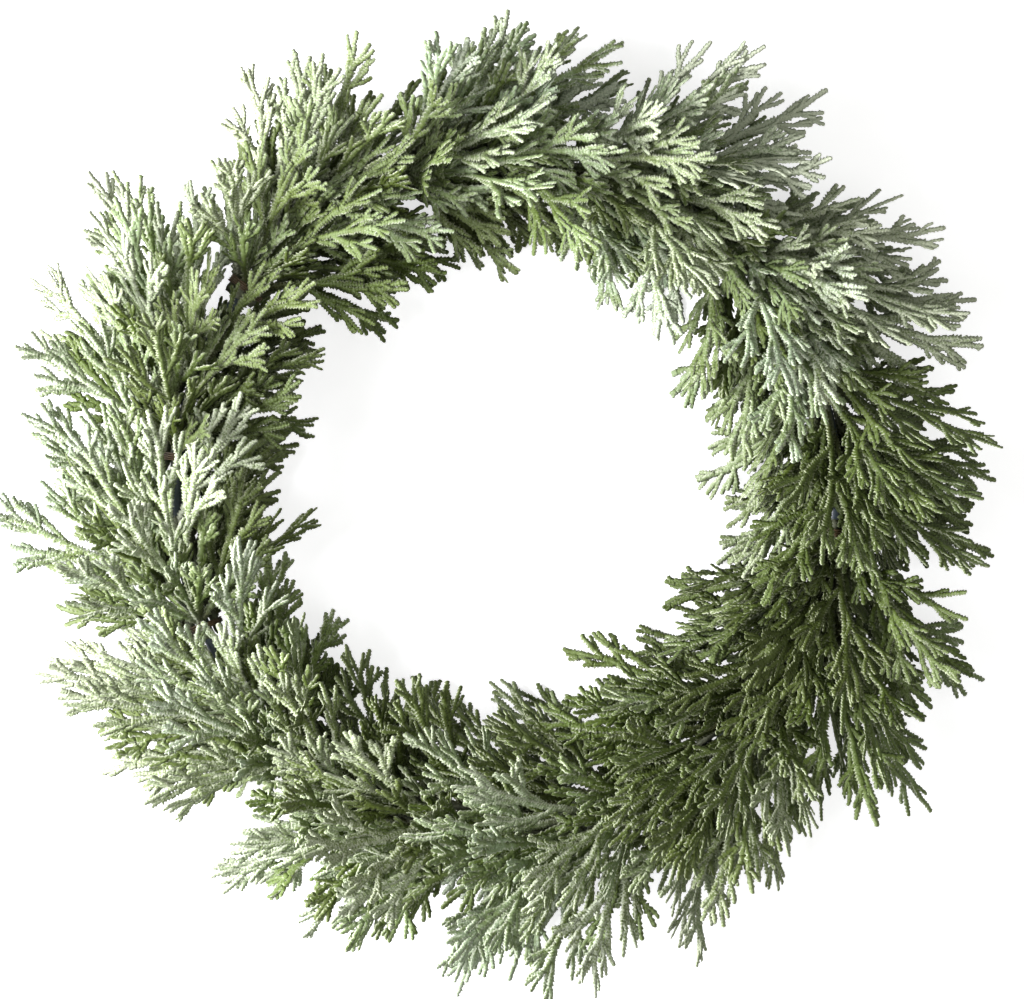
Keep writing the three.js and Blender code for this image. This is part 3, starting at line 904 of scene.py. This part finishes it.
class Wiring:
    """Short hands for making and joining shader nodes."""

    def __init__(self, tree):
        self.tree = tree

    def node(self, kind, **settings):
        node = self.tree.nodes.new(kind)
        for key, value in settings.items():
            setattr(node, key, value)
        return node

    def put(self, socket, value):
        if isinstance(value, bpy.types.NodeSocket):
            self.tree.links.new(value, socket)
        else:
            socket.default_value = value

    def math(self, operation, first, second=0.0, clamp=False):
        node = self.node("ShaderNodeMath", operation=operation, use_clamp=clamp)
        self.put(node.inputs[0], first)
        self.put(node.inputs[1], second)
        return node.outputs[0]

    def add(self, first, second):
        return self.math("ADD", first, second)

    def minus(self, first, second):
        return self.math("SUBTRACT", first, second)

    def times(self, first, second, clamp=False):
        return self.math("MULTIPLY", first, second, clamp)

    def powers(self, value, exponents):
        """A colour whose channels are the value at three powers."""
        colour = self.node("ShaderNodeCombineColor")
        for channel, exponent in zip(colour.inputs, exponents):
            self.put(channel, self.math("POWER", value, exponent))
        return colour.outputs[0]

    def mix(self, factor, first, second, blend="MIX"):
        """Mixes colours, whose sockets are taken by number as their names repeat."""
        node = self.node("ShaderNodeMix", data_type="RGBA", blend_type=blend)
        self.put(node.inputs["Factor"], factor)
        self.put(node.inputs[6], first)
        self.put(node.inputs[7], second)
        return node.outputs[2]

    def ramp(self, value, low, high, out_low=0.0, out_high=1.0):
        node = self.node("ShaderNodeMapRange", interpolation_type="SMOOTHSTEP")
        for socket, number in zip(node.inputs, (value, low, high, out_low, out_high)):
            self.put(socket, number)
        return node.outputs[0]

    def value(self, name):
        return self.node("ShaderNodeAttribute", attribute_name=name).outputs["Fac"]

    def noise(self, scale, detail=2.0, roughness=0.5):
        place = self.node("ShaderNodeTexCoord").outputs["Object"]
        node = self.node("ShaderNodeTexNoise")
        self.put(node.inputs["Vector"], place)
        self.put(node.inputs["Scale"], scale)
        self.put(node.inputs["Detail"], detail)
        self.put(node.inputs["Roughness"], roughness)
        return node.outputs["Fac"]


# The patterns on the leaves, in waves a metre.
BLOTCH_SCALE = 70.0
PATCH_SCALE = 340.0
SPECKLE_SCALE = 1150.0
# Where the raised edge and the crease lie, as shares of a scale, how far the
# edge falls back at the cord's sides and how much it wavers.
EDGE_SPAN = (0.25, 0.62)
CREASE_SPAN = (0.72, 0.95)
EDGE_FALLS_BACK = 0.45
EDGE_WAVERS = 0.7
# Where the stalk turns to leaf, and where young growth sets in, as shares of a
# frond and of a cord that ends in a tip.
STALK_SPAN = (0.02, 0.35)
YOUNG_SPAN = (0.3, 0.95)
YOUNG_TIP_SPAN = (-0.4, 0.7)
# How much the patterns sway the leaves' tone, their youth and their light.
TONE_BY_BLOTCH = 0.6
TONE_SPAN = (0.3, 1.3)
YOUTH_BY_PATCH = 0.5
YOUTH_SPAN = (0.25, 0.9)
LIGHT_IN_PATCHES = (0.6, 1.4, 0.7, 1.3)
LIGHT_ALONG = (0.3, 1.0, 0.9, 1.2)
# Painted shade: how much darker the creases between the scales are painted.
PAINTED_CREASE_SHADE = 0.22
# The most that a leaf is lightened. Red, green and blue follow the light at
# these powers, on the leaf and in the powder on it, and the powder by a share.
MOST_LIGHT = 1.64
LEAF_POWERS = (1.06, 1.0, 2.0)
POWDER_POWERS = (1.0, 1.0, 1.35)
POWDER_FOLLOWS = 0.38
# How much each thing counts towards the dusting that a spot catches.
CATCH_BY_SPECKLE = 3.0
CATCH_BY_PATCH = 1.2
# The raised scale edges are paler partly from frost and partly as a painted highlight.
EDGE_FROST_AND_HIGHLIGHT = 0.22
CATCH_BY_RIM = (0.35, 0.95)
CATCH_LESS_YOUNG = 0.22
CATCH_AT_TIPS = (0.6, 1.0, 0.0, 0.2)
# The dusting also follows each frond's lightness, which is partly painted light and shade.
CATCH_BY_SHADE = 0.62
CATCH_SPAN = (0.3, 1.0)
# The dusting is full on faces that look up, and thin below and at the stalk. In the creases it is
# thinned as painted shade, so they read darker.
DUST_FACING = (-0.4, 0.8, 0.15, 1.0)
CREASE_SHADE_ON_DUST = 0.28
DUST_ALONG = (0.0, 0.2, 0.35, 0.95)


def make_frost_group():
    """Scale leaves with pale dusting: colour, roughness and height over a cord."""
    inputs = [
        ("Stalk", "NodeSocketColor", (0.1, 0.1, 0.06, 1)),
        ("Leaf", "NodeSocketColor", (0.1, 0.15, 0.06, 1)),
        ("Sage", "NodeSocketColor", (0.14, 0.19, 0.12, 1)),
        ("Tip", "NodeSocketColor", (0.25, 0.32, 0.08, 1)),
        ("Frost", "NodeSocketColor", (0.5, 0.58, 0.45, 1)),
        ("Dusting", "NodeSocketFloat", 0.5),
    ]
    outputs = [
        ("Color", "NodeSocketColor"),
        ("Roughness", "NodeSocketFloat"),
        ("Height", "NodeSocketFloat"),
    ]
    group, given, out = new_group("frosted_scale_leaves", inputs, outputs)
    w = Wiring(group)
    socket = given.outputs

    reach, tip, tone, frost, young, shade, rim = (
        w.value(name) for name in ("reach", "tip", "tone", "frost", "young", "shade", "rim"))
    blotch = w.noise(BLOTCH_SCALE, 3.0)
    patch = w.noise(PATCH_SCALE, 2.0, 0.6)
    speckle = w.noise(SPECKLE_SCALE, 3.0, 0.75)

    # Each scale rises to its free edge, which falls back at the sides of the
    # cord, and drops into a crease before the next one.
    phase = w.add(w.value("scale"), w.times(rim, EDGE_FALLS_BACK))
    rhythm = w.math("FRACT", w.add(phase, w.times(patch, EDGE_WAVERS)))
    edge = w.ramp(rhythm, *EDGE_SPAN)
    crease = w.ramp(rhythm, *CREASE_SPAN)

    # The colour goes from stalk to leaf along the frond, and to young growth at
    # the tips.
    sage = w.ramp(w.add(tone, w.times(blotch, TONE_BY_BLOTCH)), *TONE_SPAN)
    leaf = w.mix(sage, socket["Leaf"], socket["Sage"])
    body = w.mix(w.ramp(reach, *STALK_SPAN), socket["Stalk"], leaf)
    grown = w.times(w.ramp(reach, *YOUNG_SPAN), w.ramp(tip, *YOUNG_TIP_SPAN))
    fresh = w.times(grown, w.ramp(w.add(young, w.times(patch, YOUTH_BY_PATCH)), *YOUTH_SPAN))
    body = w.mix(fresh, body, socket["Tip"])

    # How light it is: by frond, in patches, darker in creases as painted shade, and darker at the
    # stalk.
    # The frond's grade is partly painted light and shade.
    light = w.times(shade, w.ramp(w.add(blotch, patch), *LIGHT_IN_PATCHES))
    # Painted shade in the creases between the scales.
    light = w.times(light, w.minus(1.06, w.times(crease, PAINTED_CREASE_SHADE)))
    light = w.times(light, w.ramp(reach, *LIGHT_ALONG))
    light = w.math("MINIMUM", light, MOST_LIGHT)
    body = w.mix(1.0, body, w.powers(light, LEAF_POWERS), "MULTIPLY")

    # The dusting catches on what faces up, on speckles, raised edges and tips; the paler raised
    # scale edges are partly a painted highlight.
    upward = w.node("ShaderNodeSeparateXYZ")
    w.put(upward.inputs[0], w.node("ShaderNodeNewGeometry").outputs["Normal"])
    facing = w.ramp(upward.outputs["Z"], *DUST_FACING)
    caught = w.times(w.minus(speckle, 0.5), CATCH_BY_SPECKLE)
    caught = w.add(caught, w.times(w.minus(patch, 0.5), CATCH_BY_PATCH))
    # Frost and, in part, a painted highlight on the raised scale edges.
    caught = w.add(caught, w.times(edge, EDGE_FROST_AND_HIGHLIGHT))
    # The cords' sides are paler, more so at the raised scale edges, where it is in part a painted
    # highlight.
    edges = w.times(w.ramp(rim, *CATCH_BY_RIM), w.add(w.times(edge, 0.8), 0.85))
    caught = w.add(caught, w.minus(edges, 0.36))
    caught = w.minus(caught, w.times(fresh, CATCH_LESS_YOUNG))
    caught = w.add(caught, w.ramp(reach, *CATCH_AT_TIPS))
    caught = w.add(caught, w.times(frost, socket["Dusting"]))
    # Painted light and shade: more dusting on fronds graded lighter, less on those graded darker.
    caught = w.add(caught, w.times(w.minus(shade, 1.05), CATCH_BY_SHADE))
    dusted = w.times(w.ramp(caught, *CATCH_SPAN), facing, clamp=True)
    # Painted shade: thinner dusting in the creases makes them read darker.
    dusted = w.times(dusted, w.minus(1.0, w.times(crease, CREASE_SHADE_ON_DUST)))
    dusted = w.times(dusted, w.ramp(reach, *DUST_ALONG))
    dim = w.add(w.times(light, POWDER_FOLLOWS), 1 - POWDER_FOLLOWS)
    powder = w.mix(1.0, socket["Frost"], w.powers(dim, POWDER_POWERS), "MULTIPLY")

    w.put(out.inputs["Color"], w.mix(dusted, body, powder))
    w.put(out.inputs["Roughness"], w.ramp(dusted, 0.0, 0.8, 0.5, 0.9))
    bumps = w.add(w.times(edge, 0.4), w.times(crease, -0.6))
    bumps = w.add(bumps, w.times(speckle, 1.2))
    w.put(out.inputs["Height"], w.add(bumps, w.times(patch, 0.8)))
    return group


def new_material(name, roughness=0.5):
    material = bpy.data.materials.new(name)
    material.use_nodes = True
    shader = material.node_tree.nodes["Principled BSDF"]
    shader.inputs["Roughness"].default_value = roughness
    return material, Wiring(material.node_tree), shader


def add_bump(w, shader, height, strength, depth):
    bump = w.node("ShaderNodeBump")
    bump.inputs["Strength"].default_value = strength
    bump.inputs["Distance"].default_value = depth
    w.put(bump.inputs["Height"], height)
    w.put(shader.inputs["Normal"], bump.outputs["Normal"])


STALK_COLOUR = (0.08, 0.084, 0.036)
# The colours of each sort of foliage, and how much dusting it carries.
FOLIAGE = {
    "frosted": dict(leaf=(0.1, 0.137, 0.028), sage=(0.13, 0.177, 0.063),
                    tip=(0.151, 0.193, 0.076), frost=(0.473, 0.508, 0.366), dusting=0.58),
    "green": dict(leaf=(0.087, 0.127, 0.02), sage=(0.113, 0.155, 0.046),
                  tip=(0.144, 0.184, 0.061), frost=(0.442, 0.475, 0.328), dusting=0.46),
    "olive": dict(leaf=(0.076, 0.106, 0.0155), sage=(0.0915, 0.123, 0.032),
                  tip=(0.128, 0.163, 0.049), frost=(0.391, 0.42, 0.281), dusting=0.36),
}


def make_foliage(name, leaf, sage, tip, frost, dusting):
    material, w, shader = new_material(f"foliage_{name}")
    group = w.node("ShaderNodeGroup", node_tree=frost_group)
    colours = dict(Stalk=STALK_COLOUR, Leaf=leaf, Sage=sage, Tip=tip, Frost=frost)
    for label, colour in colours.items():
        group.inputs[label].default_value = (*colour, 1)
    group.inputs["Dusting"].default_value = dusting
    w.put(shader.inputs["Base Color"], group.outputs["Color"])
    w.put(shader.inputs["Roughness"], group.outputs["Roughness"])
    shader.inputs["Specular IOR Level"].default_value = 0.35
    add_bump(w, shader, group.outputs["Height"], 0.6, 0.0004)
    return material


def make_wood():
    dark, light, worn = (0.05, 0.052, 0.028, 1), (0.1, 0.11, 0.06, 1), (0.17, 0.2, 0.13, 1)
    material, w, shader = new_material("woody_stem", 0.75)
    fibre = w.noise(900.0, 3.0)
    patch = w.noise(120.0, 2.0)
    colour = w.mix(patch, dark, light)
    colour = w.mix(w.ramp(fibre, 0.5, 0.75, 0.0, 0.45), colour, worn)
    w.put(shader.inputs["Base Color"], colour)
    w.put(shader.inputs["Roughness"], w.ramp(fibre, 0.2, 0.8, 0.6, 0.85))
    add_bump(w, shader, fibre, 0.6, 0.0006)
    return material


def make_ring_coating():
    dark, slate, dusty = (0.028, 0.04, 0.05, 1), (0.06, 0.08, 0.097, 1), (0.09, 0.1, 0.11, 1)
    material, w, shader = new_material("ring_coating", 0.4)
    patch = w.noise(45.0, 3.0)
    fine = w.noise(1800.0, 2.0)
    colour = w.mix(patch, dark, slate)
    colour = w.mix(w.ramp(fine, 0.6, 0.8, 0.0, 0.35), colour, dusty)
    w.put(shader.inputs["Base Color"], colour)
    w.put(shader.inputs["Roughness"], w.ramp(patch, 0.2, 0.8, 0.3, 0.5))
    shader.inputs["Coat Weight"].default_value = 0.15
    add_bump(w, shader, fine, 0.2, 0.0002)
    return material


def make_binding_finish():
    dark, brown, worn = (0.05, 0.036, 0.018, 1), (0.12, 0.075, 0.032, 1), (0.22, 0.18, 0.11, 1)
    material, w, shader = new_material("binding", 0.6)
    patch = w.noise(160.0, 3.0)
    fine = w.noise(1400.0, 2.0)
    colour = w.mix(w.ramp(patch, 0.35, 0.65), dark, brown)
    colour = w.mix(w.ramp(fine, 0.55, 0.8, 0.0, 0.4), colour, worn)
    w.put(shader.inputs["Base Color"], colour)
    w.put(shader.inputs["Roughness"], w.ramp(fine, 0.2, 0.8, 0.45, 0.75))
    add_bump(w, shader, fine, 0.35, 0.0003)
    return material


# ------------------------------------------------------------------ pieces

def new_piece(name, mesh, slot, *nodes):
    piece = bpy.data.objects.new(name, mesh)
    bpy.context.scene.collection.objects.link(piece)
    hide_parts(*nodes)
    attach(piece, "root")
    return piece


RING_SIDES = 20
RING_STEPS = 180


def make_ring(centre, coating):
    bm = bmesh.new()
    bmesh.ops.create_circle(bm, segments=RING_SIDES, radius=RING_TUBE * MM)
    upright = Matrix.Rotation(math.pi / 2, 3, "X")
    bmesh.ops.rotate(bm, verts=bm.verts[:], cent=(0, 0, 0), matrix=upright)
    bmesh.ops.translate(bm, verts=bm.verts[:], vec=(RING_RADIUS * MM, 0, RING_HEIGHT * MM))
    bmesh.ops.spin(bm, geom=bm.verts[:] + bm.edges[:], cent=(0, 0, RING_HEIGHT * MM),
                   axis=(0, 0, 1), dvec=(0, 0, 0), angle=2 * math.pi, steps=RING_STEPS,
                   use_merge=True, use_duplicate=False)
    bmesh.ops.translate(bm, verts=bm.verts[:], vec=(centre[0] * MM, centre[1] * MM, 0))
    bmesh.ops.recalc_face_normals(bm, faces=bm.faces[:])
    mesh = bpy.data.meshes.new("coated_ring")
    bm.to_mesh(mesh)
    bm.free()
    mesh.shade_smooth()
    mesh.materials.append(coating)
    return new_piece("coated_ring", mesh, "ring_coating", "ring")


# The wire of a binding. Its two ends close to a share of its radius.
WIRE_RADIUS = 0.42
WIRE_PITCH = 0.9
WIRE_TURNS = 3.5
WIRE_STEPS = 36
WIRE_SIDES = 8
WIRE_END = 0.5


def wire_path(angle):
    """A wire wound round the ring and the three stems at one binding."""
    rounds = [(STEM_OFFSET, math.radians(seat), STEM_RADIUS) for _, seat, _, _ in SPRIGS]
    rounds.append((0, 0, RING_TUBE))
    slack = FIT_GAP + WIRE_RADIUS
    places = []
    for k in range(round(WIRE_TURNS * WIRE_STEPS) + 1):
        facing = 2 * math.pi * k / WIRE_STEPS - math.pi / 2
        distance, seat, radius = max(
            rounds, key=lambda item: item[0] * math.cos(item[1] - facing) + item[2])
        x = distance * math.cos(seat) + (radius + slack) * math.cos(facing)
        y = distance * math.sin(seat) + (radius + slack) * math.sin(facing)
        run = (k / WIRE_STEPS - WIRE_TURNS / 2) * WIRE_PITCH
        places.append(beside_ring(angle - run / RING_RADIUS, math.hypot(x, y), math.atan2(y, x)))
    return np.array(places)


def make_binding(station, centre, finish):
    angle = math.radians(STATION_ANGLES[station])
    middle = wire_path(angle)
    heading = unit(np.gradient(middle, axis=0))
    along = np.array([math.sin(angle), -math.cos(angle), 0.0])
    side = unit(along - heading * (heading @ along)[:, None])
    up = np.cross(heading, side)
    half = np.full(len(middle), WIRE_RADIUS)
    half[[0, -1]] *= WIRE_END
    tubes = Tubes()
    tubes.add_tube(WIRE_SIDES, middle, side, up, half, half)
    name = f"binding_wire_{station + 1:02d}"
    mesh = tubes.make_mesh(name, centre)
    mesh.materials.append(finish)
    return new_piece(name, mesh, "binding", f"binding_{station + 1:02d}")


# For each station, how far its leaves go from yellow-green to sage, and how
# much of them is young growth.
TONES = [(0.6, 0.45), (0.8, 0.35), (0.9, 0.3), (0.8, 0.3), (0.6, 0.4), (0.5, 0.5),
         (0.4, 0.65), (0.25, 0.8), (0.2, 0.8), (0.3, 0.75), (0.5, 0.6), (0.6, 0.5)]
# How light the leaves of a sprig are, and the grade of each sprig in turn. The grades are partly
# each sprig's own tone and partly painted light and shade: darker on the inner sprigs, which lie
# deeper, and on sprigs turned away from the lamps.
LIGHTNESS = {"deep": 0.6, "dull": 0.85, "plain": 1.1, "light": 1.4, "pale": 1.75, "hoary": 2.0}
GRADES = {
    "outer": "light hoary hoary deep dull light light pale pale light pale pale".split(),
    "front": "light pale light deep deep deep light pale light pale plain dull".split(),
    "inner": "dull light plain light deep dull plain deep plain dull deep deep".split(),
}


SPRIG_SEED = 1000
SEED_STEP = 10
# How the fronds of a sprig differ: in tone, frost, young growth and shade. The shorter ones lie
# deeper, and are darker and less frosted as painted shade for that depth.
TONE_SPREAD = 0.55
# The frost also grows with the sprig's grade, which is partly painted light.
FROST_BY_LIGHT = 0.35
YOUNG_POWER = 1.8
MAIN_FROST = (0.3, 1.08)
# The deeper, shorter fronds carry less frost, as part of their painted shade.
FILL_FROST = (-0.1, 0.68)
MAIN_SHADE = (0.8, 1.18)
# Painted shade: the deeper, shorter fronds are darker.
FILL_SHADE = (0.42, 0.96)


def make_sprig(kind, station, seat, fronds, fill, centre, foliage, wood):
    """A woody stem with its fronds: the main ones first, then the shorter ones."""
    draw = draw_from(SPRIG_SEED + station * SEED_STEP + len(kind))
    tubes = Tubes()
    lay_stem(tubes, draw, math.radians(STATION_ANGLES[station]), math.radians(seat))
    sage, young = TONES[station]
    # The sprig's grade: partly its own tone, partly painted light and shade.
    light = LIGHTNESS[GRADES[kind][station]]
    for count, frond in enumerate(fronds + fill):
        if count < len(fronds):
            pitch, narrowing, frosts, shades = SCALE_PITCH, MAIN_NARROWING, MAIN_FROST, MAIN_SHADE
        else:
            pitch, narrowing, frosts, shades = FILL_PITCH, FILL_NARROWING, FILL_FROST, FILL_SHADE
        finish = dict(
            tone=sage + spread(draw, TONE_SPREAD),
            frost=FROST_BY_LIGHT * (light - 1) + between(draw, *frosts),
            young=young * draw() ** YOUNG_POWER,
            shade=light * between(draw, *shades),
        )
        for cord in grow_cords(draw, frond):
            lay_cord(tubes, draw, frond, cord, pitch, narrowing, finish)
    name = f"{kind}_sprig_{station + 1:02d}"
    mesh = tubes.make_mesh(name, centre)
    place = [entry[0] for entry in SPRIGS].index(kind)
    sort = list(FOLIAGE)[(station + place) % len(FOLIAGE)]
    mesh.materials.append(foliage[sort])
    mesh.materials.append(wood)
    return new_piece(name, mesh, f"foliage_{sort}", f"sprig_{kind}_{station + 1:02d}")


# ------------------------------------------------------------- the picture

# The camera looks straight down from this far above the ring. A pixel at the
# ring is this wide, and the picture's middle this far from the ring's.
PIXEL = 0.462
IMAGE_WIDTH = 1024
CAMERA_DISTANCE = 2600.0
VIEW_OFFSET = (2.8, -3.5)
SENSOR_WIDTH = 36.0
# The rest of the picture is in metres and watts.
CLIP = (0.1, 200.0)
FLOOR_SIZE = 30.0
FLOOR_COLOUR = (0.65, 0.65, 0.65, 1)
FLOOR_GLOW = 0.7
SURROUND_COLOUR = (1, 1, 0.95, 1)
SURROUND_STRENGTH = 0.28
# Each lamp's name, place, size, power and colour.
LAMPS = [
    ("key", (-1.15, -0.12, 0.66), 0.95, 75, (0.945, 0.94, 1)),
    ("fill", (0.9, -0.3, 1.5), 1.4, 8, (1, 1, 1)),
]
LAMPS_AIM = (0, 0, 0.03)


def make_camera(centre):
    data = bpy.data.cameras.new("front_view")
    data.sensor_width = SENSOR_WIDTH
    data.lens = SENSOR_WIDTH * CAMERA_DISTANCE / (IMAGE_WIDTH * PIXEL)
    data.clip_start, data.clip_end = CLIP
    camera = bpy.data.objects.new("front_view", data)
    camera.location = ((centre[0] + VIEW_OFFSET[0]) * MM, (centre[1] + VIEW_OFFSET[1]) * MM,
                       (RING_HEIGHT + CAMERA_DISTANCE) * MM)
    bpy.context.scene.collection.objects.link(camera)
    bpy.context.scene.camera = camera


def make_floor():
    bm = bmesh.new()
    bmesh.ops.create_grid(bm, x_segments=1, y_segments=1, size=FLOOR_SIZE)
    mesh = bpy.data.meshes.new("floor")
    bm.to_mesh(mesh)
    bm.free()
    floor = bpy.data.objects.new("floor", mesh)
    bpy.context.scene.collection.objects.link(floor)
    material, w, shader = new_material("pale_floor", 0.9)
    shader.inputs["Base Color"].default_value = FLOOR_COLOUR
    shader.inputs["Emission Color"].default_value = (1, 1, 1, 1)
    seen = w.node("ShaderNodeLightPath").outputs["Is Camera Ray"]
    w.put(shader.inputs["Emission Strength"], w.times(seen, FLOOR_GLOW))
    mesh.materials.append(material)


def light_the_studio():
    world = bpy.data.worlds.new("studio")
    bpy.context.scene.world = world
    world.use_nodes = True
    surround = world.node_tree.nodes["Background"]
    surround.inputs["Color"].default_value = SURROUND_COLOUR
    surround.inputs["Strength"].default_value = SURROUND_STRENGTH
    for name, place, size, power, colour in LAMPS:
        data = bpy.data.lights.new(name, "AREA")
        data.shape, data.size, data.energy, data.color = "DISK", size, power, colour
        lamp = bpy.data.objects.new(name, data)
        lamp.location = place
        facing = Vector(LAMPS_AIM) - Vector(place)
        lamp.rotation_euler = facing.to_track_quat("-Z", "Y").to_euler()
        bpy.context.scene.collection.objects.link(lamp)
    bpy.context.scene.view_settings.view_transform = "Standard"


# ---------------------------------------------------------------- making

make_camera(centre)
make_floor()
light_the_studio()

frost_group = make_frost_group()
foliage = {name: make_foliage(name, **finish) for name, finish in FOLIAGE.items()}
wood = make_wood()
binding_finish = make_binding_finish()

main_fronds, placed = lay_out_fronds()
fill_fronds = lay_out_fill(placed)

make_ring(centre, make_ring_coating())
for station in range(len(STATION_ANGLES)):
    make_binding(station, centre, binding_finish)
    for kind, seat, _, _ in SPRIGS:
        mine, fill = ([frond for frond in fronds if frond["sprig"] == (kind, station)]
                      for fronds in (main_fronds, fill_fronds))
        make_sprig(kind, station, seat, mine, fill, centre, foliage, wood)
